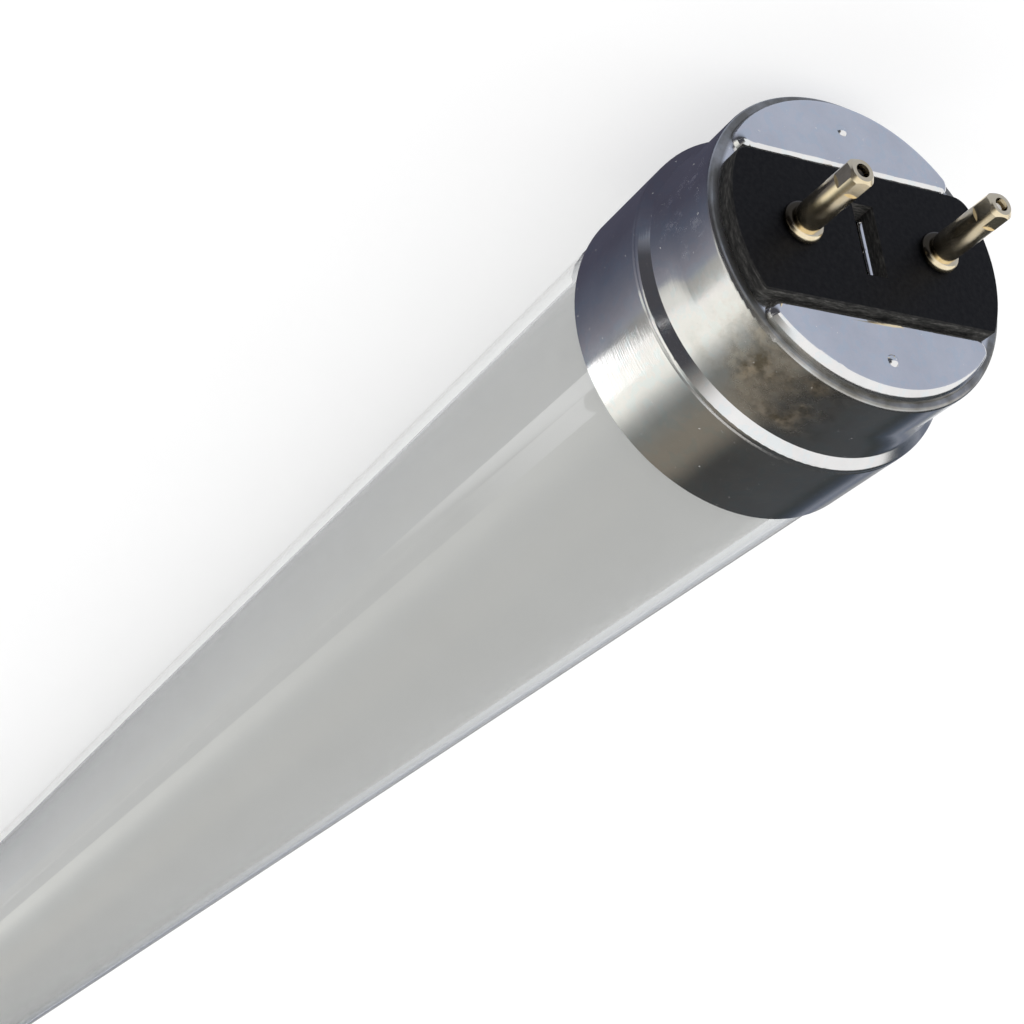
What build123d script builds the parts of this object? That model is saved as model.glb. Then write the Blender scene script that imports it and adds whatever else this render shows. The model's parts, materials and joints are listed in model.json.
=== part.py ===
import os
from math import asin, degrees, radians, sqrt, tan

from build123d import *

# Straight glass lamp with a two-pin aluminium cap at each end, in millimetres.
# The origin is the middle of the lamp's axis. X runs along the tube, Y along each
# pair of pins, and Z towards the side that gives light.

# Whole lamp, from the outer face of one insulating plate to the other
FACE_SPAN = 589.6
PIN_SPACING = 12.7

# Glass tube
GLASS_D = 28.0
GLASS_WALL = 1.2
GLASS_SET = 10.0
GLASS_EDGE = 0.25

# Cap shell, drawn from one sheet. Depths run inwards from the plate's outer face
SHEET = 0.25
GLUE_GAP = 0.15
SKIRT_END = 17.8
NECK_STEP = 1.15
LEDGE_WIDTH = 0.6
LEDGE_ROUND = 0.35
FLARE_START = 6.2
FLARE_LENGTH = 2.0
FLARE_RISE = 0.4
FLARE_ROUND = 6.0
BEAD_LENGTH = 0.85
BEAD_PROUD = 0.06
BEAD_ROUND = 0.4
CREASE_LENGTH = 0.3
CREASE_SINK = 0.07
GLUE_CORNER_BACK = 0.2
NECK_CORNER_BACK = 0.1

# The two raised D-shaped lands beside the plate
LAND_RISE = 0.9
LAND_TAPER = 20.0
LAND_ROUND = 0.8
LAND_CORNER = 1.15
DIMPLE_R = 0.6
DIMPLE_RISE = 0.28
DIMPLE_INSET = 2.85

# Insulating plates, outer and inner
PLATE_WIDTH = 11.9
PLATE_THICK = 1.2
PLATE_INSET = 0.5
PLATE_CORNER = 1.7
PLATE_CORNER_SMALL = 0.5
PLATE_EDGE = 0.12
CHANNEL_CLEAR = 0.15
INNER_THICK = 1.0
INNER_CLEAR = 0.12

# Vent slot: through the plate, the shell and the inner plate
VENT_WIDTH = 2.0
VENT_LENGTH = 6.1
VENT_SHELL_LENGTH = 4.8
VENT_LIP = 1.1
VENT_LIP_IN = 0.45
VENT_LIP_ROUND = 0.35
VENT_INNER_MARGIN = 0.5

# Contact pins
PIN_D = 2.35
PIN_BORE = 1.1
PIN_REACH = 7.1
PIN_TIP_EDGE = 0.3
PIN_CLEAR = 0.03
COLLAR_D = 3.4
COLLAR_HEIGHT = 0.8
COLLAR_WAIST = 0.25
COLLAR_SHOULDER = 0.4
RIVET_D = 3.3
RIVET_THICK = 0.35
CRIMP_LENGTH = 1.7
CRIMP_ACROSS = 2.02
SHELL_PIN_HOLE = 4.8

# Diffusing film against the glass
FILM_THICK = 0.25
FILM_CLEAR = 0.05
FILM_SET_BACK = 2.0
FILM_SEAM = 0.4

# Strip of light sources along the bottom of the tube
STRIP_BED = 0.9
BED_WIDTH = 6.0
STRIP_THICK = 1.0
STRIP_CLEAR = 0.05
STRIP_LIVE_GAP = 4.0
STRIP_FAR_GAP = 2.0
STRIP_NOTCH_R = 0.8
BEAD_CLEAR = 0.02
LIGHTS = 48
LIGHT_LENGTH = 3.5
LIGHT_WIDTH = 2.8
LIGHT_HEIGHT = 0.7
LIGHT_WALL = 0.3
LIGHT_POCKET = 0.4
LIGHT_LIVE_GAP = 10.0
LIGHT_FAR_GAP = 6.0

# Driver board and the sleeve that holds it
SLEEVE_WALL = 0.4
SLEEVE_CLEAR = 0.1
SLEEVE_SET = 3.6
SLEEVE_LENGTH = 57.0
BOARD_THICK = 1.2
BOARD_DROP = 2.5
BOARD_CLEAR = 0.05
BOARD_CORNER = 1.2
BOARD_SET = 5.0
BOARD_LENGTH = 53.0
LEG_D = 0.6

# Parts on the driver board. Each place is measured along it from its front edge, or
# from its back edge for the choke, the diode and the output leads
FUSE_D = 2.6
FUSE_LENGTH = 6.5
FUSE_AT = 12.0
FUSE_SIDE = 6.0
FUSE_EDGE = 0.65
FUSE_LEG_OUT = 1.2
FILM_CAP_SIZE = (11.0, 5.0, 8.5)
FILM_CAP_AT = 10.5
FILM_CAP_SIDE = -4.0
FILM_CAP_ROUND = 0.6
FILM_CAP_EDGE = 0.3
BULK_D = 8.0
BULK_LENGTH = 13.0
BULK_AT = 17.5
BULK_SIDE = -5.0
OUTPUT_D = 6.3
OUTPUT_LENGTH = 9.0
OUTPUT_AT = 18.0
OUTPUT_SIDE = 4.5
CAN_EDGE = 0.3
CAN_GROOVE = 0.35
CAN_GROOVE_AT = 1.8
CAN_GROOVE_HALF = 0.9
CHOKE_LENGTH = 9.0
CHOKE_WIDTH = 11.0
CHOKE_HEIGHT = 9.0
CHOKE_YOKE = 2.2
CHOKE_ROUND = 0.6
CHOKE_FROM_BACK = 10.0
CHOKE_WIRE_MARGIN = 0.3
BRIDGE_SIZE = (4.7, 3.9, 1.4)
BRIDGE_AT = 14.0
CHIP_SIZE = (4.9, 3.9, 1.4)
CHIP_AT = 27.0
DIODE_SIZE = (4.3, 2.6, 1.9)
DIODE_FROM_BACK = 11.0
FOOT_LENGTH = 1.1
FOOT_WIDTH = 0.5
FOOT_THICK = 0.25

# Wires
WIRE_D = 1.2
CORE_D = 0.7
CORE_BACK = 0.4
LEAD_SLOPE = 45.0
LEAD_RUN = 1.6
LEAD_TAIL = 2.4
OUT_SIDE = 2.0
OUT_START = 3.2
OUT_PAST = 2.2
OUT_LAND = 1.65
OUT_TAIL = 3.0
OUT_BEND = 2.0
LINK_STRAIGHT = 1.4

# Sizes that follow from those above
FACE_X = FACE_SPAN / 2
GLASS_R = GLASS_D / 2
GLASS_IN_R = GLASS_R - GLASS_WALL
SKIRT_IN_R = GLASS_R + GLUE_GAP
SKIRT_R = SKIRT_IN_R + SHEET
NECK_R = SKIRT_R - NECK_STEP
NECK_IN_R = NECK_R - SHEET
LAND_R = NECK_R - LEDGE_WIDTH
DIMPLE_OUT = LAND_R - DIMPLE_INSET
PLATE_R = LAND_R - PLATE_INSET
CHANNEL_HALF = PLATE_WIDTH / 2 + CHANNEL_CLEAR
LEDGE_DEPTH = PLATE_THICK
SHELL_DEPTH = LEDGE_DEPTH + SHEET
INNER_DEPTH = SHELL_DEPTH + INNER_THICK
FLARE_END = FLARE_START + FLARE_LENGTH
BEAD_END = FLARE_END + BEAD_LENGTH
CREASE_END = BEAD_END + CREASE_LENGTH
GLUE_CORNER = (CREASE_END + GLUE_CORNER_BACK, SKIRT_IN_R)
NECK_CORNER = (FLARE_END + NECK_CORNER_BACK, NECK_IN_R + FLARE_RISE)
PIN_Y = PIN_SPACING / 2
TIP_X = FACE_X + PIN_REACH
FILM_R = GLASS_IN_R - FILM_CLEAR
FILM_IN_R = FILM_R - FILM_THICK
GLASS_END = FACE_X - GLASS_SET
SLEEVE_R = FILM_IN_R - SLEEVE_CLEAR
SLEEVE_IN_R = SLEEVE_R - SLEEVE_WALL
BOARD_TOP = -BOARD_DROP
BOARD_BOTTOM = BOARD_TOP - BOARD_THICK
BOARD_HALF = sqrt(SLEEVE_IN_R**2 - BOARD_BOTTOM**2) - BOARD_CLEAR
BOARD_FRONT = FACE_X - BOARD_SET
BOARD_BACK = BOARD_FRONT - BOARD_LENGTH
CHOKE_X = BOARD_BACK + CHOKE_FROM_BACK
DIODE_X = BOARD_BACK + DIODE_FROM_BACK
STRIP_BOTTOM = STRIP_BED - GLASS_IN_R
STRIP_TOP = STRIP_BOTTOM + STRIP_THICK
STRIP_HALF = sqrt(GLASS_IN_R**2 - STRIP_BOTTOM**2) - STRIP_CLEAR
STRIP_LIVE_END = FACE_X - SLEEVE_SET - SLEEVE_LENGTH - STRIP_LIVE_GAP
STRIP_FAR_END = -(GLASS_END - STRIP_FAR_GAP)
LIGHT_FIRST = STRIP_LIVE_END - LIGHT_LIVE_GAP
LIGHT_LAST = STRIP_FAR_END + LIGHT_FAR_GAP
LIGHT_PITCH = (LIGHT_FIRST - LIGHT_LAST) / (LIGHTS - 1)

os.makedirs("parts", exist_ok=True)


def save(part, name):
    part.label = name
    export_step(part, f"parts/{name}.step")


def at(depth, radius):
    return (FACE_X - depth, radius)


def facing(x):
    return Plane(origin=(x, 0, 0), x_dir=(0, 1, 0), z_dir=(1, 0, 0))


def land(inset, base_depth, mode):
    # A pair of D shapes raised from the end wall, their edges rolled over.
    # The inset gives the pocket behind the sheet.
    for side in (1, -1):
        reach = LAND_R - inset
        chord = CHANNEL_HALF + inset
        with BuildPart(mode=Mode.PRIVATE) as raised:
            with BuildSketch(facing(FACE_X - base_depth)) as outline:
                Circle(reach)
                with Locations((0, side * (chord + reach) / 2)):
                    Rectangle(2 * reach, reach - chord, mode=Mode.INTERSECT)
                fillet(outline.vertices(), LAND_CORNER - inset)
            extrude(amount=LAND_RISE, taper=LAND_TAPER)
            fillet(raised.faces().sort_by(Axis.X)[-1].edges(), LAND_ROUND - inset)
        add(raised.part, mode=mode)


# Glass tube
with BuildPart() as glass_tube:
    with BuildSketch(facing(-GLASS_END)):
        Circle(GLASS_R)
        Circle(GLASS_IN_R, mode=Mode.SUBTRACT)
    extrude(amount=2 * GLASS_END)
    chamfer(glass_tube.edges().filter_by(GeomType.CIRCLE), GLASS_EDGE)
save(glass_tube.part, "glass_tube")

# Cap shell at the end with the driver
with BuildPart() as cap_shell:
    with BuildSketch(Plane.XY):
        with BuildLine():
            outer = FilletPolyline(
                at(LEDGE_DEPTH, 0),
                at(LEDGE_DEPTH, NECK_R),
                at(FLARE_START, NECK_R),
                at(FLARE_END, NECK_R + FLARE_RISE),
                at(BEAD_END, SKIRT_R + BEAD_PROUD),
                at(CREASE_END, SKIRT_R - CREASE_SINK),
                at(CREASE_END + CREASE_LENGTH / 2, SKIRT_R),
                at(SKIRT_END, SKIRT_R),
                radius=(LEDGE_ROUND, FLARE_ROUND, 0, BEAD_ROUND, 0, 0),
            )
            Polyline(outer @ 1, at(SKIRT_END, 0), outer @ 0)
        make_face()
    revolve(axis=Axis.X)
    land(0, LEDGE_DEPTH, Mode.ADD)
    dimple_centres = [
        (FACE_X - LEDGE_DEPTH + LAND_RISE + DIMPLE_RISE - DIMPLE_R, 0, side * DIMPLE_OUT)
        for side in (1, -1)
    ]
    with Locations(*dimple_centres):
        Sphere(DIMPLE_R, rotation=(0, 90, 0))
    with BuildSketch(Plane.XY):
        with BuildLine():
            Polyline(
                at(SHELL_DEPTH, 0),
                at(SHELL_DEPTH, NECK_IN_R),
                at(FLARE_START, NECK_IN_R),
                at(*NECK_CORNER),
                at(*GLUE_CORNER),
                at(SKIRT_END, SKIRT_IN_R),
                at(SKIRT_END, 0),
                close=True,
            )
        make_face()
    revolve(axis=Axis.X, mode=Mode.SUBTRACT)
    land(SHEET, SHELL_DEPTH, Mode.SUBTRACT)
    with Locations(*dimple_centres):
        Sphere(DIMPLE_R - SHEET, rotation=(0, 90, 0), mode=Mode.SUBTRACT)
    # Wide holes that keep the shell clear of the pins, and the vent with one turned-in lip
    with BuildSketch(facing(FACE_X - SHELL_DEPTH)):
        with Locations((PIN_Y, 0), (-PIN_Y, 0)):
            Circle(SHELL_PIN_HOLE / 2)
        Rectangle(VENT_WIDTH, VENT_SHELL_LENGTH)
    extrude(amount=SHEET, mode=Mode.SUBTRACT)
    with BuildSketch(Plane.XY.offset(-VENT_SHELL_LENGTH / 2)):
        with BuildLine():
            lip = FilletPolyline(
                (FACE_X - LEDGE_DEPTH, -VENT_WIDTH / 2),
                (FACE_X - LEDGE_DEPTH, -VENT_WIDTH / 2 + VENT_LIP_IN),
                (FACE_X - LEDGE_DEPTH - VENT_LIP, -VENT_WIDTH / 2 + VENT_LIP_IN),
                radius=VENT_LIP_ROUND,
            )
            Polyline(
                lip @ 1,
                (FACE_X - LEDGE_DEPTH - VENT_LIP, -VENT_WIDTH / 2 + VENT_LIP_IN - SHEET),
                (FACE_X - SHELL_DEPTH, -VENT_WIDTH / 2 + VENT_LIP_IN - SHEET),
                (FACE_X - SHELL_DEPTH, -VENT_WIDTH / 2),
                lip @ 0,
            )
        make_face()
    extrude(amount=VENT_SHELL_LENGTH)

# Black insulating plate that lies in the channel between the lands
with BuildPart() as outer_plate:
    with BuildSketch(facing(FACE_X - PLATE_THICK)) as outline:
        Circle(PLATE_R)
        Rectangle(2 * PLATE_R, PLATE_WIDTH, mode=Mode.INTERSECT)
        fillet(outline.vertices().group_by(Axis.Y)[0], PLATE_CORNER)
        fillet(outline.vertices().group_by(Axis.Y)[-1], PLATE_CORNER_SMALL)
        Rectangle(VENT_WIDTH, VENT_LENGTH, mode=Mode.SUBTRACT)
        with Locations((PIN_Y, 0), (-PIN_Y, 0)):
            Circle(PIN_D / 2 + PIN_CLEAR, mode=Mode.SUBTRACT)
    extrude(amount=PLATE_THICK)
    top = outer_plate.faces().sort_by(Axis.X)[-1]
    chamfer(top.outer_wire().edges(), PLATE_EDGE)

# Inner insulating disc, clamped behind the shell by the riveted pins
with BuildPart() as inner_plate:
    with BuildSketch(facing(FACE_X - INNER_DEPTH)):
        Circle(NECK_IN_R - INNER_CLEAR)
        Rectangle(VENT_WIDTH + 2 * VENT_INNER_MARGIN, VENT_LENGTH, mode=Mode.SUBTRACT)
        with Locations((PIN_Y, 0), (-PIN_Y, 0)):
            Circle(PIN_D / 2 + PIN_CLEAR, mode=Mode.SUBTRACT)
    extrude(amount=INNER_THICK)

# Hollow contact pin with a rolled collar, a riveted foot and a crimped tip
with BuildPart() as contact_pin:
    with BuildSketch(Plane.XY):
        with BuildLine():
            Polyline(
                (FACE_X - INNER_DEPTH, PIN_BORE / 2),
                (FACE_X - INNER_DEPTH - RIVET_THICK, PIN_BORE / 2),
                (FACE_X - INNER_DEPTH - RIVET_THICK, RIVET_D / 2),
                (FACE_X - INNER_DEPTH, RIVET_D / 2),
                (FACE_X - INNER_DEPTH, PIN_D / 2),
                (FACE_X, PIN_D / 2),
                (FACE_X, COLLAR_D / 2 - COLLAR_WAIST),
            )
            ThreePointArc(
                (FACE_X, COLLAR_D / 2 - COLLAR_WAIST),
                (FACE_X + COLLAR_HEIGHT / 2, COLLAR_D / 2),
                (FACE_X + COLLAR_HEIGHT, COLLAR_D / 2 - COLLAR_SHOULDER),
            )
            Polyline(
                (FACE_X + COLLAR_HEIGHT, COLLAR_D / 2 - COLLAR_SHOULDER),
                (FACE_X + COLLAR_HEIGHT, PIN_D / 2),
                (TIP_X - PIN_TIP_EDGE, PIN_D / 2),
                (TIP_X, PIN_D / 2 - PIN_TIP_EDGE),
                (TIP_X, PIN_BORE / 2),
                (FACE_X - INNER_DEPTH, PIN_BORE / 2),
            )
        make_face()
    revolve(axis=Axis.X)
    with BuildSketch(facing(TIP_X - CRIMP_LENGTH)):
        with PolarLocations((CRIMP_ACROSS + PIN_D) / 2, 4):
            Rectangle(PIN_D, 2 * PIN_D)
    extrude(amount=CRIMP_LENGTH, mode=Mode.SUBTRACT)

# Adhesive that seats the glass in the cap
with BuildPart() as cap_adhesive:
    with BuildSketch(Plane.XY):
        with BuildLine():
            Polyline(
                at(*NECK_CORNER),
                at(*GLUE_CORNER),
                at(SKIRT_END - GLASS_WALL, SKIRT_IN_R),
                at(SKIRT_END - GLASS_WALL, GLASS_R),
                at(GLASS_SET, GLASS_R),
                at(GLASS_SET, GLASS_IN_R),
                close=True,
            )
        make_face()
    revolve(axis=Axis.X)

for end, turn in (("right", 0), ("left", 180)):
    for piece, name in (
        (cap_shell, "cap"),
        (outer_plate, "insulating_plate"),
        (inner_plate, "inner_insulator"),
        (cap_adhesive, "cap_adhesive"),
    ):
        save(piece.part.rotate(Axis.Z, turn), f"{end}_{name}")
    for side, place in (("front", PIN_Y), ("rear", -PIN_Y)):
        with BuildPart() as placed_pin:
            add(contact_pin.part.rotate(Axis.Z, turn).translate((0, place, 0)))
        save(placed_pin.part, f"{end}_{side}_pin")

# Diffusing film, a rolled sheet that lines the glass and stops at the strip's edges
SEAM_ANGLE = degrees(asin((STRIP_HALF + FILM_SEAM) / FILM_IN_R))
with BuildPart() as diffuser_film:
    with BuildSketch(facing(-(GLASS_END - FILM_SET_BACK))):
        with BuildLine():
            outside = CenterArc((0, 0), FILM_R, -90 + SEAM_ANGLE, 360 - 2 * SEAM_ANGLE)
            inside = CenterArc((0, 0), FILM_IN_R, -90 + SEAM_ANGLE, 360 - 2 * SEAM_ANGLE)
            Line(outside @ 0, inside @ 0)
            Line(outside @ 1, inside @ 1)
        make_face()
    extrude(amount=2 * (GLASS_END - FILM_SET_BACK))
save(diffuser_film.part, "diffuser_film")

# Metal-core strip that carries the light sources, light side up
with BuildPart() as led_strip:
    with BuildSketch(Plane.XY.offset(STRIP_BOTTOM)):
        with Locations(((STRIP_LIVE_END + STRIP_FAR_END) / 2, 0)):
            Rectangle(STRIP_LIVE_END - STRIP_FAR_END, 2 * STRIP_HALF)
        with Locations((STRIP_LIVE_END, 0), (STRIP_FAR_END, 0)):
            Circle(STRIP_NOTCH_R, mode=Mode.SUBTRACT)
    extrude(amount=STRIP_THICK)
save(led_strip.part, "led_strip")

# Silicone bed between the flat strip and the round glass
with BuildPart() as strip_adhesive:
    with BuildSketch(facing(STRIP_FAR_END)):
        Circle(GLASS_IN_R - BEAD_CLEAR)
        with Locations((0, STRIP_BOTTOM)):
            Rectangle(BED_WIDTH, GLASS_R, align=(Align.CENTER, Align.MAX), mode=Mode.INTERSECT)
    extrude(amount=STRIP_LIVE_END - STRIP_FAR_END)
save(strip_adhesive.part, "strip_adhesive")

# Light sources: a white case with a well, and the yellow filling in the well
light_places = [(LIGHT_FIRST - number * LIGHT_PITCH, 0) for number in range(LIGHTS)]
with BuildPart() as led_cases:
    with BuildSketch(Plane.XY.offset(STRIP_TOP)):
        with Locations(*light_places):
            Rectangle(LIGHT_LENGTH, LIGHT_WIDTH)
    extrude(amount=LIGHT_HEIGHT)
    with BuildSketch(Plane.XY.offset(STRIP_TOP + LIGHT_HEIGHT)):
        with Locations(*light_places):
            Rectangle(LIGHT_LENGTH - 2 * LIGHT_WALL, LIGHT_WIDTH - 2 * LIGHT_WALL)
    extrude(amount=-LIGHT_POCKET, mode=Mode.SUBTRACT)
save(led_cases.part, "led_cases")

with BuildPart() as led_phosphor:
    with BuildSketch(Plane.XY.offset(STRIP_TOP + LIGHT_HEIGHT - LIGHT_POCKET)):
        with Locations(*light_places):
            Rectangle(LIGHT_LENGTH - 2 * LIGHT_WALL, LIGHT_WIDTH - 2 * LIGHT_WALL)
    extrude(amount=LIGHT_POCKET)
save(led_phosphor.part, "led_phosphor")

# Insulating sleeve round the driver
with BuildPart() as driver_sleeve:
    with BuildSketch(facing(FACE_X - SLEEVE_SET)):
        Circle(SLEEVE_R)
        Circle(SLEEVE_IN_R, mode=Mode.SUBTRACT)
    extrude(amount=-SLEEVE_LENGTH)
save(driver_sleeve.part, "driver_sleeve")

# Driver board, wedged across the sleeve
with BuildPart() as driver_board:
    with BuildSketch(Plane.XY.offset(BOARD_BOTTOM)) as outline:
        with Locations(((BOARD_FRONT + BOARD_BACK) / 2, 0)):
            Rectangle(BOARD_LENGTH, 2 * BOARD_HALF)
        chamfer(outline.vertices(), BOARD_CORNER)
    extrude(amount=BOARD_THICK)
save(driver_board.part, "driver_board")


def board_x(along):
    return BOARD_FRONT - along


def can(diameter, length, along, side):
    # A capacitor can that lies on the board along X, with the rolled groove near its open end
    middle = (board_x(along), side, BOARD_TOP + diameter / 2)
    lying = Plane(origin=middle, x_dir=(-1, 0, 0), z_dir=(0, 0, 1))
    with BuildPart() as body:
        with BuildSketch(lying):
            with BuildLine():
                Polyline(
                    (0, 0),
                    (0, diameter / 2 - CAN_EDGE),
                    (CAN_EDGE, diameter / 2),
                    (CAN_GROOVE_AT - CAN_GROOVE_HALF, diameter / 2),
                    (CAN_GROOVE_AT, diameter / 2 - CAN_GROOVE),
                    (CAN_GROOVE_AT + CAN_GROOVE_HALF, diameter / 2),
                    (length - CAN_EDGE, diameter / 2),
                    (length, diameter / 2 - CAN_EDGE),
                    (length, 0),
                    close=True,
                )
            make_face()
        revolve(axis=Axis(lying.origin, (1, 0, 0)))
    return body.part


def surface_part(size, middle, feet):
    # A flat part under the board, its feet bent out on both sides
    length, width, height = size
    with BuildPart() as body:
        with BuildSketch(Plane.XY.offset(BOARD_BOTTOM)) as outline:
            with Locations((middle, 0)):
                Rectangle(length, width)
        extrude(amount=-height)
        fillet(body.faces().sort_by(Axis.Z)[0].edges(), FOOT_THICK)
        with BuildSketch(Plane.XY.offset(BOARD_BOTTOM)):
            with Locations((middle, 0)):
                with GridLocations(length / feet, width + FOOT_LENGTH, feet, 2):
                    Rectangle(FOOT_WIDTH, FOOT_LENGTH)
        extrude(amount=-FOOT_THICK)
    return body.part


# Driver parts on the upper side of the board
FUSE_AXIS_Z = BOARD_TOP + FUSE_D / 2
FUSE_REACH = FUSE_LENGTH / 2 + FUSE_LEG_OUT
with BuildPart() as fuse_resistor:
    with BuildSketch(facing(board_x(FUSE_AT) - FUSE_LENGTH / 2)):
        with Locations((FUSE_SIDE, FUSE_AXIS_Z)):
            Circle(FUSE_D / 2)
    extrude(amount=FUSE_LENGTH)
    chamfer(fuse_resistor.edges().filter_by(GeomType.CIRCLE), FUSE_EDGE)
    with BuildLine(Plane.XZ.offset(-FUSE_SIDE)):
        Polyline(
            (board_x(FUSE_AT) - FUSE_REACH, BOARD_TOP),
            (board_x(FUSE_AT) - FUSE_REACH, FUSE_AXIS_Z),
            (board_x(FUSE_AT) + FUSE_REACH, FUSE_AXIS_Z),
            (board_x(FUSE_AT) + FUSE_REACH, BOARD_TOP),
        )
    with BuildSketch(Plane.XY.offset(BOARD_TOP)):
        with Locations((board_x(FUSE_AT) - FUSE_REACH, FUSE_SIDE)):
            Circle(LEG_D / 2)
    sweep(transition=Transition.RIGHT)
save(fuse_resistor.part, "fuse_resistor")

with BuildPart() as film_capacitor:
    with BuildSketch(Plane.XY.offset(BOARD_TOP)) as outline:
        with Locations((board_x(FILM_CAP_AT), FILM_CAP_SIDE)):
            Rectangle(FILM_CAP_SIZE[0], FILM_CAP_SIZE[1])
        fillet(outline.vertices(), FILM_CAP_ROUND)
    extrude(amount=FILM_CAP_SIZE[2])
    fillet(film_capacitor.faces().sort_by(Axis.Z)[-1].edges(), FILM_CAP_EDGE)
save(film_capacitor.part, "film_capacitor")

save(can(BULK_D, BULK_LENGTH, BULK_AT, BULK_SIDE), "bulk_capacitor")
save(can(OUTPUT_D, OUTPUT_LENGTH, OUTPUT_AT, OUTPUT_SIDE), "output_capacitor")

# Choke: a core of two yokes joined by a round post, and the winding on the post
CHOKE_POST_R = CHOKE_LENGTH / 2 - CHOKE_YOKE
with BuildPart() as choke_core:
    with BuildSketch(Plane.XY.offset(BOARD_TOP)):
        with Locations((CHOKE_X, 0)):
            Rectangle(CHOKE_LENGTH, CHOKE_WIDTH)
    extrude(amount=CHOKE_HEIGHT)
    fillet(choke_core.edges().filter_by(Axis.Z), CHOKE_ROUND)
    with BuildSketch(Plane.XY.offset(BOARD_TOP + CHOKE_YOKE)):
        with Locations((CHOKE_X, 0)):
            Rectangle(CHOKE_LENGTH, CHOKE_WIDTH)
            Circle(CHOKE_POST_R, mode=Mode.SUBTRACT)
    extrude(amount=CHOKE_HEIGHT - 2 * CHOKE_YOKE, mode=Mode.SUBTRACT)
save(choke_core.part, "choke_core")

with BuildPart() as choke_winding:
    with BuildSketch(Plane.XY.offset(BOARD_TOP + CHOKE_YOKE)):
        with Locations((CHOKE_X, 0)):
            Circle(CHOKE_LENGTH / 2 - CHOKE_WIRE_MARGIN)
            Circle(CHOKE_POST_R, mode=Mode.SUBTRACT)
    extrude(amount=CHOKE_HEIGHT - 2 * CHOKE_YOKE)
save(choke_winding.part, "choke_winding")

# Driver parts on the under side of the board
save(surface_part(BRIDGE_SIZE, board_x(BRIDGE_AT), 2), "bridge_rectifier")
save(surface_part(CHIP_SIZE, board_x(CHIP_AT), 4), "driver_chip")
save(surface_part(DIODE_SIZE, DIODE_X, 1), "output_diode")

# Insulated leads from the live pins down to the board. Each bare core runs up its pin.
LEAD_Z = BOARD_TOP + WIRE_D / 2
LEAD_START = FACE_X - INNER_DEPTH - RIVET_THICK
LEAD_CORNER = LEAD_START - LEAD_RUN
LEAD_DOWN = -LEAD_Z / tan(radians(LEAD_SLOPE))
for name, place in (("front", PIN_Y), ("rear", -PIN_Y)):
    with BuildPart() as live_lead:
        with BuildLine(Plane.XZ.offset(-place)):
            FilletPolyline(
                (LEAD_START, 0),
                (LEAD_CORNER, 0),
                (LEAD_CORNER - LEAD_DOWN, LEAD_Z),
                (LEAD_CORNER - LEAD_DOWN - LEAD_TAIL, LEAD_Z),
                radius=WIRE_D,
            )
        with BuildSketch(Plane(origin=(LEAD_START, place, 0), x_dir=(0, 1, 0), z_dir=(-1, 0, 0))):
            Circle(WIRE_D / 2)
        sweep()
        with BuildSketch(facing(LEAD_START)):
            with Locations((place, 0)):
                Circle(CORE_D / 2)
        extrude(amount=TIP_X - CORE_BACK - LEAD_START)
    save(live_lead.part, f"live_lead_{name}")

# One link bridges the two pins at the other end
LINK_START = -(FACE_X - INNER_DEPTH - RIVET_THICK)
with BuildPart() as pin_link:
    with BuildLine():
        Line((LINK_START, PIN_Y), (LINK_START + LINK_STRAIGHT, PIN_Y))
        ThreePointArc(
            (LINK_START + LINK_STRAIGHT, PIN_Y),
            (LINK_START + LINK_STRAIGHT + PIN_Y, 0),
            (LINK_START + LINK_STRAIGHT, -PIN_Y),
        )
        Line((LINK_START + LINK_STRAIGHT, -PIN_Y), (LINK_START, -PIN_Y))
    with BuildSketch(Plane(origin=(LINK_START, PIN_Y, 0), x_dir=(0, 1, 0), z_dir=(1, 0, 0))):
        Circle(WIRE_D / 2)
    sweep()
    with BuildSketch(facing(LINK_START)):
        with Locations((PIN_Y, 0), (-PIN_Y, 0)):
            Circle(CORE_D / 2)
    extrude(amount=-(TIP_X - CORE_BACK + LINK_START))
save(pin_link.part, "pin_link")

# Two leads from the driver board down to the strip
OUT_HIGH = BOARD_TOP + WIRE_D / 2
OUT_LOW = STRIP_TOP + WIRE_D / 2
OUT_FIRST = BOARD_BACK + OUT_START
OUT_LANDING = STRIP_LIVE_END - OUT_LAND
for name, place in (("positive", OUT_SIDE), ("negative", -OUT_SIDE)):
    with BuildPart() as output_lead:
        with BuildLine(Plane.XZ.offset(-place)):
            FilletPolyline(
                (OUT_FIRST, OUT_HIGH),
                (BOARD_BACK - OUT_PAST, OUT_HIGH),
                (OUT_LANDING, OUT_LOW),
                (OUT_LANDING - OUT_TAIL, OUT_LOW),
                radius=OUT_BEND,
            )
        with BuildSketch(Plane(origin=(OUT_FIRST, place, OUT_HIGH), x_dir=(0, 1, 0), z_dir=(-1, 0, 0))):
            Circle(WIRE_D / 2)
        sweep()
    save(output_lead.part, f"output_lead_{name}")
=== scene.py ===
import json
from math import cos, radians, sin

import bpy
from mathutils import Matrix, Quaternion, Vector


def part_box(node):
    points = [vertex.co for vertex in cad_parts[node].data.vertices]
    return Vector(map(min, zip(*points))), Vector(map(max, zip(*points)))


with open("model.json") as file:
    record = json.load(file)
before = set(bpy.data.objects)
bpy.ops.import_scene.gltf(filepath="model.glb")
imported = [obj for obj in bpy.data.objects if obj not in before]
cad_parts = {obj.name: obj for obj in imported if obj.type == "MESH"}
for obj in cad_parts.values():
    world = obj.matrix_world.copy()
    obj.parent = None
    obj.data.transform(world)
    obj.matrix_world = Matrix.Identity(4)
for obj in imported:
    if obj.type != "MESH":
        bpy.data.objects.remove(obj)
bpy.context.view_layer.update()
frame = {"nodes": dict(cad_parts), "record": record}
nodes = frame["nodes"]

MM = 0.001

# Places that the finishes and the reflections follow, read from the frame
FACE_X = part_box("right_insulating_plate")[1].x
FLOOR_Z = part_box("right_cap")[0].z
pin_low, pin_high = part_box("right_front_pin")
PIN_Y = abs(pin_low.y + pin_high.y) / 2

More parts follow.
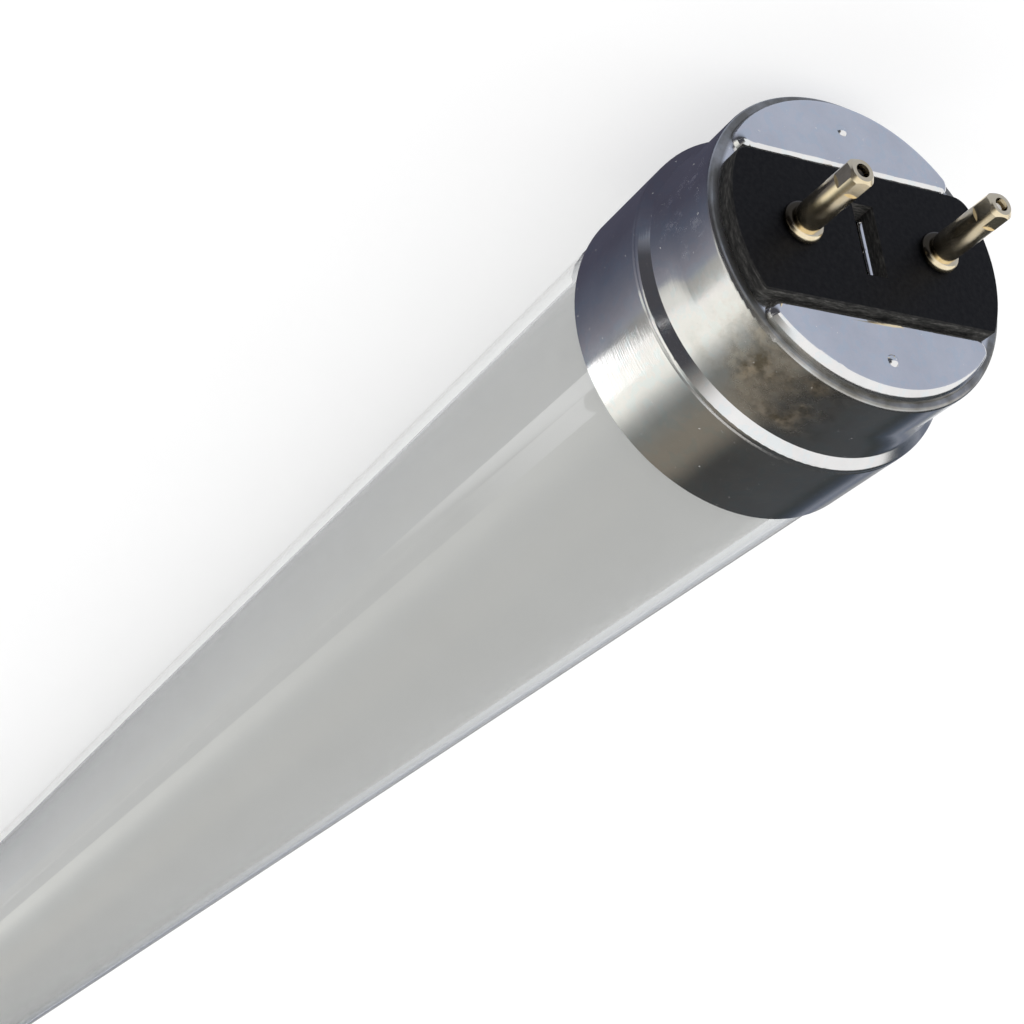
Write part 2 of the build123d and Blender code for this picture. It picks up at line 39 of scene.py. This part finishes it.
# Camera, worked out from the photograph's perspective
CAMERA_AT = Vector((379.6, 85.8, 68.3)) * MM
CAMERA_AIM = Vector((241.2, 0.0, -1.8)) * MM
CAMERA_ROLL = radians(172.85)
LENS_MM = 65.2
SENSOR_MM = 36.0
CLIP_START = 5 * MM

# The rolled bead of the shown cap: centre and radius of its arc, and how far its normal leans
BEAD_X = FACE_X - 9.134 * MM
BEAD_ROUND = 0.4 * MM
BEAD_BACK = -0.385
BEAD_FRONT = 0.68

# A facet is taken as turned about X when its normal agrees this well with the way outwards
TURNED = 0.97

# Wear on the shown cap, and painted shade on its ledge. Each zone starts, is full, is still full
# and ends: depths behind the plate's face from the neck's foot to the face in mm, angles about X
# in degrees, radii in mm.
STAIN_DEPTHS = (8.0, 7.0, 1.6, 1.2)
STAIN_ANGLES = (22, 44, 66, 84)
SCUFF_DEPTHS = (8.8, 6.3, 2.8, 1.2)
SCUFF_ANGLES = (-34, -22, -4, 12)
LEDGE_DEPTHS = (1.6, 1.5, 1.1, 0.8)
LEDGE_RADII = (12.2, 12.5, 13.1, 13.3)
STAIN_ROUGHNESS = 0.32
SCUFF_ROUGHNESS = 0.3
LEDGE_SHADE_ROUGHNESS = 0.3

# Painted shade on the collars' floor-facing side: heights above the plate's face between which it
# fades
COLLAR_SHADE_TO = 0.8 * MM
COLLAR_SHADE_END = 1.8 * MM

# The floor's white and its glow: for diffuse light, then for the camera and for gloss
FLOOR_HALF = 6.0
FLOOR_WHITE = (0.86, 0.4)
FLOOR_GLOW = (0.3, 0.66)

# What the metal and the glass mirror. Colours are linear, places and heights are in metres.
SKY_BLUE = (0.46, 0.5, 0.61)
PALE_BLUE = (0.3, 0.32, 0.37)
SLATE = (0.24, 0.24, 0.28)
DIM_BLUE = (0.17, 0.19, 0.24)
MID_BLUE = (0.1, 0.11, 0.15)
DARK_BLUE = (0.07, 0.07, 0.1)
FLOOR_PALE = (0.8, 0.81, 0.83)
CREAM = (1.04, 1.04, 0.97)
DIM_CREAM = (0.78, 0.78, 0.74)
TUBE_GREY = (0.38, 0.385, 0.39)
TUBE_GREY_FAR = (0.3, 0.31, 0.32)
GREY = (0.44, 0.45, 0.43)
DIM_GREY = (0.2, 0.2, 0.19)
OLIVE = (0.2, 0.21, 0.2)
BROWN = (0.22, 0.2, 0.165)
NEAR_BLACK = (0.06, 0.06, 0.058)
FRONT_DARK = (0.07, 0.07, 0.08)
FRONT_GREY = (0.3, 0.29, 0.27)
WHITE = (1.0, 1.0, 1.0)
STREAK = (2.7, 2.7, 2.7)
STREAK_TAIL = (0.4, 0.4, 0.4)

# Cards on the floor, in two levels, by their corners' x and y
CARD_LIFT = 0.4 * MM
CARD_SPLIT_X = 0.292
NEAR_STOPS = [
    (-0.006, DARK_BLUE),
    (0.015, DARK_BLUE),
    (0.023, MID_BLUE),
    (0.045, SLATE),
    (0.067, PALE_BLUE),
]
NEAR_FROM_Y = NEAR_STOPS[0][0]
NEAR_TO_Y = NEAR_STOPS[-1][0]
NEAR_CORNERS = [
    (-0.5, 0.013),
    (0.2665, 0.013),
    (0.2705, NEAR_FROM_Y),
    (CARD_SPLIT_X, NEAR_FROM_Y),
    (CARD_SPLIT_X, 0.0588),
    (0.230, 0.067),
    (0.1, 0.156),
    (-0.5, 0.156),
]
MID_CORNERS = [
    (CARD_SPLIT_X, 0.0588),
    (0.230, 0.067),
    (0.206, 0.083),
    (-0.241, 0.514),
    (CARD_SPLIT_X, 0.514),
]
MID_RUN = [(0.176, 0.111), (0.2038, 0.1398)]
FRONT_CORNERS = [(CARD_SPLIT_X, -0.4), (CARD_SPLIT_X, 0.4), (0.9, 0.4), (0.9, -0.4)]
BACK_CORNERS = [(0.28, -0.04), (0.28, -1.5), (-1.5, -1.5), (-1.5, -0.04)]
TUBE_SIDE_CORNERS = [(0.222, -0.02), (0.222, -0.14), (-1.5, -0.14), (-1.5, -0.02)]
STREAK_CORNERS = [(0.206, 0.082), (-0.241, 0.514), (-1.9, 0.514), (-1.9, 0.082)]
STREAK_RUN = [(0.198, 0.074), (0.170, 0.045)]

# The tent, a half cylinder about the lamp: its colours by the angle above the floor, in degrees
TENT_R = 0.6
TENT_FROM_X = -2.0
TENT_TO_X = 0.33
TENT_STEP = 4.0
TENT_STOPS = [
    (-1.2, (0.97, 0.94, 0.9)),
    (6.0, CREAM),
    (22.0, CREAM),
    (33.0, GREY),
    (42.0, OLIVE),
    (58.0, BROWN),
    (71.0, BROWN),
    (86.0, NEAR_BLACK),
    (150.0, (0.07, 0.075, 0.08)),
    (158.0, (0.045, 0.05, 0.05)),
    (172.0, (0.07, 0.085, 0.115)),
    (181.0, PALE_BLUE),
]
TENT_FRONT_TO_X = 1.5
TENT_FRONT = [
    (-1.2, 26.0, FRONT_DARK, FRONT_DARK),
    (26.0, 40.0, FRONT_DARK, FRONT_GREY),
    (40.0, 56.0, FRONT_GREY, WHITE),
]

# The streak on the glass goes up the tent: just inside it, between two angles, and fading along X
STREAK_R = TENT_R - 0.01
STREAK_ANGLES = (-1.6, 13.0)
STREAK_FROM_X = -0.35
STREAK_FADED_X = -0.49
STREAK_TO_X = -0.5


class Finish:
    """A node material: the shader, and short calls that add and join nodes."""

    def __init__(self, name):
        self.material = bpy.data.materials.new(name)
        self.material.use_nodes = True
        self.tree = self.material.node_tree
        self.shader = self.tree.nodes["Principled BSDF"]
        self.output = self.tree.nodes["Material Output"]
        self.place = self.node("ShaderNodeTexCoord").outputs["Object"]

    def node(self, kind, **settings):
        made = self.tree.nodes.new(kind)
        for key, value in settings.items():
            setattr(made, key, value)
        return made

    def put(self, socket, value):
        """Link a socket, or set a plain value on it."""
        if isinstance(value, bpy.types.NodeSocket):
            self.tree.links.new(value, socket)
        else:
            socket.default_value = value

    def set(self, **values):
        """Give the shader its inputs, by name."""
        for key, value in values.items():
            self.put(self.shader.inputs[key.replace("_", " ")], value)

    def math(self, operation, first, second=0.0, clamp=False):
        made = self.node("ShaderNodeMath", operation=operation, use_clamp=clamp)
        self.put(made.inputs[0], first)
        self.put(made.inputs[1], second)
        return made.outputs[0]

    def times(self, first, second):
        return self.math("MULTIPLY", first, second)

    def split(self, vector):
        made = self.node("ShaderNodeSeparateXYZ")
        self.put(made.inputs[0], vector)
        return made.outputs

    def join(self, x, y, z):
        made = self.node("ShaderNodeCombineXYZ")
        self.put(made.inputs[0], x)
        self.put(made.inputs[1], y)
        self.put(made.inputs[2], z)
        return made.outputs[0]

    def vector(self, operation, first, second=None):
        made = self.node("ShaderNodeVectorMath", operation=operation)
        self.put(made.inputs[0], first)
        if second is not None:
            self.put(made.inputs[1], second)
        return made

    def noise(self, vector, scale, detail=3.0, rough=0.55):
        made = self.node("ShaderNodeTexNoise")
        self.put(made.inputs["Vector"], vector)
        made.inputs["Scale"].default_value = scale
        made.inputs["Detail"].default_value = detail
        made.inputs["Roughness"].default_value = rough
        return made.outputs["Fac"]

    def span(self, value, low, high, to_low=0.0, to_high=1.0):
        """Map one range onto another, and hold its ends."""
        made = self.node("ShaderNodeMapRange")
        made.clamp = True
        self.put(made.inputs["Value"], value)
        made.inputs["From Min"].default_value = low
        made.inputs["From Max"].default_value = high
        made.inputs["To Min"].default_value = to_low
        made.inputs["To Max"].default_value = to_high
        return made.outputs["Result"]

    def zone(self, value, low, full, full_to, high):
        """One inside a range, fading to nothing on both sides."""
        return self.times(self.span(value, low, full), self.span(value, full_to, high, 1.0, 0.0))

    def depth_zone(self, x, depths):
        """A zone along X, from its depths in mm behind the shown plate's face."""
        return self.zone(x, *(FACE_X - depth * MM for depth in depths))

    def angle_zone(self, angle, degrees):
        return self.zone(angle, *(radians(turn) for turn in degrees))

    def ramp(self, value, stops):
        made = self.node("ShaderNodeValToRGB")
        elements = made.color_ramp.elements
        while len(elements) < len(stops):
            elements.new(1.0)
        for element, (place, colour) in zip(elements, stops):
            element.position = place
            element.color = (*colour, 1.0)
        self.put(made.inputs["Fac"], value)
        return made.outputs["Color"]

    def blend(self, amount, first, second):
        """Go from one colour to another by an amount."""
        made = self.node("ShaderNodeMix", data_type="RGBA")
        self.put(made.inputs["Factor"], amount)
        self.put(made.inputs["A"], (*first, 1.0) if isinstance(first, tuple) else first)
        self.put(made.inputs["B"], (*second, 1.0) if isinstance(second, tuple) else second)
        return made.outputs["Result"]

    def bump(self, height, distance, normal=None):
        """Dent the surface by a height of up to a distance."""
        made = self.node("ShaderNodeBump")
        self.put(made.inputs["Height"], height)
        made.inputs["Distance"].default_value = distance
        if normal:
            self.put(made.inputs["Normal"], normal)
        self.put(self.shader.inputs["Normal"], made.outputs["Normal"])

    def bead_lean(self, x, lean):
        """How far the normal leans along X, worked out from X on the bead's arc."""
        arc = self.math("DIVIDE", self.math("SUBTRACT", x, BEAD_X), BEAD_ROUND)
        on_arc = self.math("COMPARE", arc, (BEAD_BACK + BEAD_FRONT) / 2)
        on_arc.node.inputs[2].default_value = (BEAD_FRONT - BEAD_BACK) / 2
        return self.math("ADD", lean, self.times(on_arc, self.math("SUBTRACT", arc, lean)))

    def round_normal(self):
        """The surface's normal, its facets smoothed out where the surface is turned about X."""
        facet = self.node("ShaderNodeTexCoord").outputs["Normal"]
        facet_lean, side_y, side_z = self.split(facet)
        x, y, z = self.split(self.place)
        lean = self.bead_lean(x, facet_lean)
        out = self.vector("NORMALIZE", self.join(0.0, y, z)).outputs["Vector"]
        flat = self.vector("NORMALIZE", self.join(0.0, side_y, side_z)).outputs["Vector"]
        agree = self.vector("DOT_PRODUCT", out, flat).outputs["Value"]
        squared = self.math("SUBTRACT", 1.0, self.math("POWER", lean, 2.0), clamp=True)
        width = self.times(self.math("SQRT", squared), self.math("SIGN", agree))
        out_y, out_z = self.split(out)[1:]
        turned = self.join(lean, self.times(width, out_y), self.times(width, out_z))
        made = self.node("ShaderNodeMix", data_type="VECTOR")
        is_turned = self.math("GREATER_THAN", self.math("ABSOLUTE", agree), TURNED)
        self.put(made.inputs["Factor"], is_turned)
        self.put(made.inputs[4], facet)
        self.put(made.inputs[5], turned)
        return made.outputs[1]

    def around(self):
        """Place along X, angle about the lamp's axis in radians, and distance from it."""
        x, y, z = self.split(self.place)
        angle = self.math("ARCTAN2", z, y)
        squares = self.math("ADD", self.math("POWER", y, 2.0), self.math("POWER", z, 2.0))
        return x, angle, self.math("SQRT", squares)


def drawn_aluminium():
    """Turned sheet metal, with dull stains on the neck, painted shade on the ledge, scuffs and
    dust.
    """
    finish = Finish("drawn_aluminium")
    x, angle, reach = finish.around()
    lines = finish.noise(finish.join(finish.times(x, 9000.0), angle, 0.0), 1.0, 4.0)
    blotch = finish.noise(finish.place, 220.0, 4.0)
    tint = finish.noise(finish.place, 900.0, 3.0, 0.6)
    mottle = finish.noise(finish.place, 380.0, 6.0, 0.6)
    spots = finish.noise(finish.place, 900.0, 4.0, 0.6)
    smear = finish.noise(finish.place, 700.0, 6.0, 0.7)
    specks = finish.noise(finish.place, 2600.0, 2.0)

    plain = finish.ramp(blotch, [(0.3, (0.74, 0.74, 0.74)), (0.7, (0.86, 0.86, 0.85))])
    tinted = finish.ramp(tint, [(0.5, (0.88, 0.8, 0.8)), (0.58, (0.72, 0.8, 0.84))])
    clean = finish.blend(finish.span(tint, 0.38, 0.62, 0.0, 0.35), plain, tinted)
    patch = finish.ramp(spots, [(0.4, (0.3, 0.26, 0.2)), (0.6, (0.74, 0.64, 0.52))])

    neck = finish.times(
        finish.depth_zone(x, STAIN_DEPTHS), finish.angle_zone(angle, STAIN_ANGLES)
    )
    stain = finish.times(neck, finish.span(mottle, 0.36, 0.66))
    rubbed = finish.times(
        finish.depth_zone(x, SCUFF_DEPTHS), finish.angle_zone(angle, SCUFF_ANGLES)
    )
    scuff = finish.times(rubbed, finish.span(smear, 0.52, 0.66))
    # Painted shade: a dark mottled band on the ledge beside the plate, also made duller
    ledge = finish.times(
        finish.depth_zone(x, LEDGE_DEPTHS),
        finish.zone(reach, *(radius * MM for radius in LEDGE_RADII)),
    )
    ledge_shade = finish.times(ledge, finish.span(mottle, 0.3, 0.6, 0.55, 0.95))
    dust = finish.times(finish.span(specks, 0.73, 0.77), 0.5)

    colour = finish.blend(stain, clean, patch)
    colour = finish.blend(scuff, colour, (0.93, 0.93, 0.95))
    # Painted shade on the ledge
    colour = finish.blend(ledge_shade, colour, (0.2, 0.19, 0.165))
    colour = finish.blend(dust, colour, (0.7, 0.69, 0.66))
    dull = finish.math(
        "MAXIMUM", finish.times(stain, STAIN_ROUGHNESS), finish.times(scuff, SCUFF_ROUGHNESS)
    )
    dull = finish.math("MAXIMUM", dull, finish.times(ledge_shade, LEDGE_SHADE_ROUGHNESS))
    finish.set(
        Base_Color=colour,
        Metallic=finish.math("SUBTRACT", 1.0, dust),
        Roughness=finish.math("ADD", finish.span(blotch, 0.3, 0.7, 0.1, 0.16), dull),
    )
    finish.bump(lines, 0.004 * MM, finish.round_normal())
    return finish.material


def nickel():
    """Warm nickel plate, with painted shade on the side of each collar that faces the floor."""
    finish = Finish("nickel_plate")
    grain = finish.noise(finish.place, 900.0, 3.0)
    x, y, z = finish.split(finish.place)
    # Painted shade: near-black colour on the floor-facing side of each collar, next to the plate
    beside = finish.math("SUBTRACT", y, finish.times(finish.math("SIGN", y), PIN_Y))
    floor_side = finish.span(finish.math("SUBTRACT", beside, z), -0.2 * MM, 0.8 * MM)
    collar = finish.span(x, FACE_X + COLLAR_SHADE_TO, FACE_X + COLLAR_SHADE_END, 1.0, 0.0)
    collar_shade = finish.times(floor_side, collar)
    clean = finish.ramp(grain, [(0.3, (0.8, 0.67, 0.44)), (0.7, (0.9, 0.79, 0.58))])
    finish.set(
        Base_Color=finish.blend(collar_shade, clean, (0.06, 0.05, 0.035)),
        Metallic=1.0,
        Roughness=finish.span(grain, 0.3, 0.7, 0.17, 0.25),
    )
    finish.bump(grain, 0.004 * MM)
    return finish.material


def black_board():
    """Black fibre plate: a dull top, and paler cut edges where the fibres show, with painted shade
    on the cut ends towards ±Y.
    """
    finish = Finish("black_board")
    grain = finish.noise(finish.place, 2500.0, 4.0)
    top = finish.ramp(grain, [(0.35, (0.004, 0.004, 0.005)), (0.7, (0.009, 0.009, 0.01))])
    layers = finish.node("ShaderNodeMapping")
    finish.put(layers.inputs["Vector"], finish.place)
    layers.inputs["Scale"].default_value = (4200.0, 1100.0, 1100.0)
    fibre = finish.noise(layers.outputs["Vector"], 1.0, 5.0, 0.7)
    cut = finish.ramp(
        fibre,
        [
            (0.35, (0.028, 0.028, 0.027)),
            (0.52, (0.075, 0.073, 0.069)),
            (0.72, (0.2, 0.196, 0.185)),
        ],
    )
    facing = finish.split(finish.node("ShaderNodeTexCoord").outputs["Normal"])
    side = finish.span(finish.math("ABSOLUTE", facing[0]), 0.5, 0.8, 1.0, 0.0)
    # Painted shade: cut faces towards ±Y keep only part of the pale fibre colour
    ends = finish.span(finish.math("ABSOLUTE", facing[1]), 0.3, 0.9, 1.0, 0.4)
    finish.set(
        Base_Color=finish.blend(finish.times(side, ends), top, cut),
        Roughness=finish.span(side, 0.0, 1.0, 0.5, 0.8),
        Specular_IOR_Level=0.1,
    )
    finish.bump(grain, 0.02 * MM)
    return finish.material


def clear_glass():
    """Clear glass that lets direct light through to what lies behind it."""
    finish = Finish("clear_glass")
    grain = finish.noise(finish.place, 30.0, 2.0)
    finish.set(
        Base_Color=(0.97, 0.985, 0.98, 1.0),
        Roughness=finish.span(grain, 0.3, 0.7, 0.0, 0.02),
        Transmission_Weight=1.0,
        IOR=1.5,
        Normal=finish.round_normal(),
    )
    through = finish.node("ShaderNodeBsdfTransparent")
    path = finish.node("ShaderNodeLightPath")
    mixed = finish.node("ShaderNodeMixShader")
    finish.put(mixed.inputs[0], path.outputs["Is Shadow Ray"])
    finish.put(mixed.inputs[1], finish.shader.outputs[0])
    finish.put(mixed.inputs[2], through.outputs[0])
    finish.put(finish.output.inputs["Surface"], mixed.outputs[0])
    return finish.material


def milky_film():
    """The diffuser sheet: pale, matt and a little uneven."""
    finish = Finish("milky_film")
    cloud = finish.noise(finish.place, 60.0, 3.0)
    grain = finish.noise(finish.place, 3500.0, 2.0)
    finish.set(
        Base_Color=finish.ramp(
            cloud, [(0.3, (0.835, 0.818, 0.803)), (0.7, (0.865, 0.848, 0.833))]
        ),
        Roughness=0.75,
    )
    finish.bump(grain, 0.01 * MM, finish.round_normal())
    return finish.material


def plain_finish(name, dark, light, rough, scale, metallic=0.0):
    """A moulded, lacquered or wound surface with small changes of colour and gloss."""
    finish = Finish(name)
    grain = finish.noise(finish.place, scale, 4.0)
    finish.set(
        Base_Color=finish.ramp(grain, [(0.3, dark), (0.7, light)]),
        Roughness=finish.span(grain, 0.3, 0.7, rough - 0.06, rough + 0.06),
        Metallic=metallic,
    )
    finish.bump(grain, 0.01 * MM)
    return finish.material


# Plain finishes by material slot: name, dark and light colour, roughness, grain, metallic
PLAIN_FINISHES = {
    "fibre_board": ("fibre_board", (0.06, 0.035, 0.02), (0.1, 0.06, 0.035), 0.7, 900.0),
    "cap_cement": ("cap_cement", (0.4, 0.37, 0.33), (0.52, 0.49, 0.44), 0.85, 700.0),
    "strip_metal": ("strip_mask", (0.78, 0.78, 0.76), (0.86, 0.86, 0.84), 0.4, 500.0),
    "silicone": ("silicone", (0.7, 0.7, 0.68), (0.8, 0.8, 0.78), 0.5, 300.0),
    "led_case": ("led_case", (0.8, 0.8, 0.78), (0.88, 0.88, 0.86), 0.35, 900.0),
    "led_phosphor": ("led_phosphor", (0.75, 0.6, 0.1), (0.86, 0.72, 0.16), 0.6, 2500.0),
    "sleeve": ("sleeve_sheet", (0.7, 0.7, 0.67), (0.78, 0.78, 0.75), 0.35, 200.0),
    "circuit_board": ("circuit_board", (0.02, 0.12, 0.05), (0.04, 0.2, 0.09), 0.4, 700.0),
    "fuse": ("fuse_lacquer", (0.06, 0.2, 0.16), (0.1, 0.28, 0.22), 0.3, 900.0),
    "film_capacitor": ("capacitor_lacquer", (0.4, 0.1, 0.02), (0.55, 0.17, 0.04), 0.3, 500.0),
    "capacitor_can": ("capacitor_sleeve", (0.02, 0.02, 0.03), (0.045, 0.045, 0.06), 0.3, 500.0),
    "ferrite": ("ferrite", (0.04, 0.04, 0.042), (0.08, 0.08, 0.085), 0.6, 1500.0),
    "winding": ("enamelled_wire", (0.4, 0.14, 0.05), (0.6, 0.26, 0.1), 0.3, 2500.0, 1.0),
    "chip": ("chip_mould", (0.02, 0.02, 0.02), (0.04, 0.04, 0.04), 0.55, 2500.0),
    "wire_black": ("black_insulation", (0.015, 0.015, 0.015), (0.03, 0.03, 0.03), 0.45, 900.0),
    "wire_white": ("white_insulation", (0.7, 0.7, 0.68), (0.8, 0.8, 0.78), 0.45, 900.0),
    "wire_red": ("red_insulation", (0.5, 0.03, 0.02), (0.62, 0.05, 0.03), 0.45, 900.0),
}


def dress_pieces():
    """Give each piece the finish of its material slot."""
    finishes = {
        "glass": clear_glass(),
        "diffuser": milky_film(),
        "cap_metal": drawn_aluminium(),
        "black_plate": black_board(),
        "pin_metal": nickel(),
    }
    for slot, values in PLAIN_FINISHES.items():
        finishes[slot] = plain_finish(*values)
    for row in frame["record"]["subparts"]:
        node = nodes[row["node"]]
        node.data.materials.clear()
        node.data.materials.append(finishes[row["material_slot"]])


def add_camera():
    """The photograph's camera, which is rolled nearly upside down."""
    camera = bpy.data.objects.new("camera", bpy.data.cameras.new("camera"))
    bpy.context.scene.collection.objects.link(camera)
    camera.location = CAMERA_AT
    camera.rotation_mode = "QUATERNION"
    look = (CAMERA_AIM - CAMERA_AT).to_track_quat("-Z", "Y")
    camera.rotation_quaternion = look @ Quaternion((0, 0, 1), CAMERA_ROLL)
    camera.data.lens = LENS_MM
    camera.data.sensor_width = SENSOR_MM
    camera.data.clip_start = CLIP_START
    bpy.context.scene.camera = camera


def sheet(name, corners):
    """One flat face of the stage."""
    mesh = bpy.data.meshes.new(name)
    mesh.from_pydata(corners, [], [range(len(corners))])
    made = bpy.data.objects.new(name, mesh)
    bpy.context.scene.collection.objects.link(made)
    return made


def add_floor():
    """White floor. Where it is seen, part of its white is its own, so its shadow is pale."""
    corners = [(-1, -1), (1, -1), (1, 1), (-1, 1)]
    floor = sheet("floor", [(x * FLOOR_HALF, y * FLOOR_HALF, FLOOR_Z) for x, y in corners])
    finish = Finish("floor")
    path = finish.node("ShaderNodeLightPath")
    camera_ray, glossy_ray = path.outputs["Is Camera Ray"], path.outputs["Is Glossy Ray"]
    seen = finish.math("MAXIMUM", camera_ray, glossy_ray)
    grain = finish.noise(finish.place, 40.0, 2.0)
    uneven = finish.span(grain, 0.3, 0.7, -0.005, 0.005)
    white = finish.math("ADD", uneven, finish.span(seen, 0.0, 1.0, *FLOOR_WHITE))
    finish.set(Base_Color=finish.join(white, white, white), Roughness=0.9)
    glow = finish.node("ShaderNodeEmission")
    finish.put(glow.inputs["Strength"], finish.span(seen, 0.0, 1.0, *FLOOR_GLOW))
    both = finish.node("ShaderNodeAddShader")
    finish.put(both.inputs[0], finish.shader.outputs[0])
    finish.put(both.inputs[1], glow.outputs[0])
    finish.put(finish.output.inputs["Surface"], both.outputs[0])
    finish.material.cycles.emission_sampling = "NONE"
    floor.data.materials.append(finish.material)


def card(name, corners, colours, run=None):
    """A card that only gloss sees. Its colours go along its run, or along its first edge."""
    made = sheet(name, corners)
    for kind in ("camera", "diffuse", "transmission", "shadow", "volume_scatter"):
        setattr(made, f"visible_{kind}", False)
    finish = Finish(name)
    glow = finish.node("ShaderNodeEmission")
    start, end = (Vector(point) for point in run or corners[:2])
    step = end - start
    along = finish.vector("DOT_PRODUCT", finish.place, step / step.length_squared)
    offset = start.dot(step) / step.length_squared
    share = finish.math("SUBTRACT", along.outputs["Value"], offset)
    finish.put(glow.inputs["Color"], finish.ramp(share, colours))
    finish.put(finish.output.inputs["Surface"], glow.outputs[0])
    finish.material.cycles.emission_sampling = "NONE"
    made.data.materials.append(finish.material)


def floor_card(name, level, corners, colours, run=None):
    """A card that lies on the floor, on the first or the second level."""
    height = FLOOR_Z + level * CARD_LIFT
    corners = [(x, y, height) for x, y in corners]
    card(name, corners, colours, run and [(x, y, height) for x, y in run])


def add_floor_cards():
    """Cards on the floor: dark blue beside the cap, pale beyond it, and the foot of the streak."""
    near_width = NEAR_TO_Y - NEAR_FROM_Y
    near_colours = [((y - NEAR_FROM_Y) / near_width, colour) for y, colour in NEAR_STOPS]
    near_run = [(0.0, NEAR_FROM_Y), (0.0, NEAR_TO_Y)]
    floor_card("card_near_floor", 1, NEAR_CORNERS, near_colours, near_run)
    floor_card("card_mid_floor", 1, MID_CORNERS, [(0.0, DIM_GREY), (1.0, DIM_CREAM)], MID_RUN)
    floor_card("card_front_floor", 1, FRONT_CORNERS, [(0.515, SKY_BLUE), (0.535, FRONT_DARK)])
    floor_card("card_back_floor", 1, BACK_CORNERS, [(0.035, FLOOR_PALE), (0.07, DIM_BLUE)])
    tube_colours = [(0.0, TUBE_GREY), (1.0, TUBE_GREY_FAR)]
    floor_card("card_tube_side", 2, TUBE_SIDE_CORNERS, tube_colours)
    streak_colours = [(0.0, STREAK), (1.0, STREAK_TAIL)]
    floor_card("card_streak_floor", 2, STREAK_CORNERS, streak_colours, STREAK_RUN)


def tent_colour(angle):
    """Colour of the tent at an angle above the floor, between its stops."""
    for (first, low), (last, high) in zip(TENT_STOPS, TENT_STOPS[1:]):
        if angle <= last:
            share = (angle - first) / (last - first)
            return tuple(a + (b - a) * share for a, b in zip(low, high))
    return TENT_STOPS[-1][1]


def tent_corners(first, last, from_x, to_x, reach):
    """One strip of the tent, its first edge across the strip."""
    low, high = radians(first), radians(last)
    return [
        (from_x, reach * cos(low), reach * sin(low)),
        (from_x, reach * cos(high), reach * sin(high)),
        (to_x, reach * cos(high), reach * sin(high)),
        (to_x, reach * cos(low), reach * sin(low)),
    ]


def add_tent():
    """The streak, what stands in front of the lamp, and the tent in strips."""
    card(
        "card_streak",
        tent_corners(*STREAK_ANGLES, STREAK_FROM_X, STREAK_TO_X, STREAK_R),
        [(0.0, STREAK), (1.0, STREAK_TAIL)],
        [(STREAK_FROM_X, 0.0, 0.0), (STREAK_FADED_X, 0.0, 0.0)],
    )
    card(
        "card_streak_tail",
        tent_corners(*STREAK_ANGLES, STREAK_TO_X, TENT_FROM_X, STREAK_R),
        [(0.0, STREAK_TAIL), (1.0, STREAK_TAIL)],
    )
    for first, last, low, high in TENT_FRONT:
        corners = tent_corners(first, last, TENT_TO_X, TENT_FRONT_TO_X, TENT_R)
        card(f"card_front_{first:.0f}", corners, [(0.0, low), (1.0, high)])
    angle = TENT_STOPS[0][0]
    while angle < TENT_STOPS[-1][0]:
        after = min(angle + TENT_STEP, TENT_STOPS[-1][0])
        corners = tent_corners(angle, after, TENT_FROM_X, TENT_TO_X, TENT_R)
        colours = [(0.0, tent_colour(angle)), (1.0, tent_colour(after))]
        card(f"card_tent_{angle:.0f}", corners, colours)
        angle = after


def add_light():
    """Plain white light from everywhere, which is also the background."""
    world = bpy.data.worlds.new("world")
    world.use_nodes = True
    background = world.node_tree.nodes["Background"]
    background.inputs["Color"].default_value = (1.0, 1.0, 1.0, 1.0)
    background.inputs["Strength"].default_value = 1.0
    bpy.context.scene.world = world


dress_pieces()
add_camera()
add_floor()
add_floor_cards()
add_tent()
add_light()
bpy.context.scene.view_settings.view_transform = "Standard"
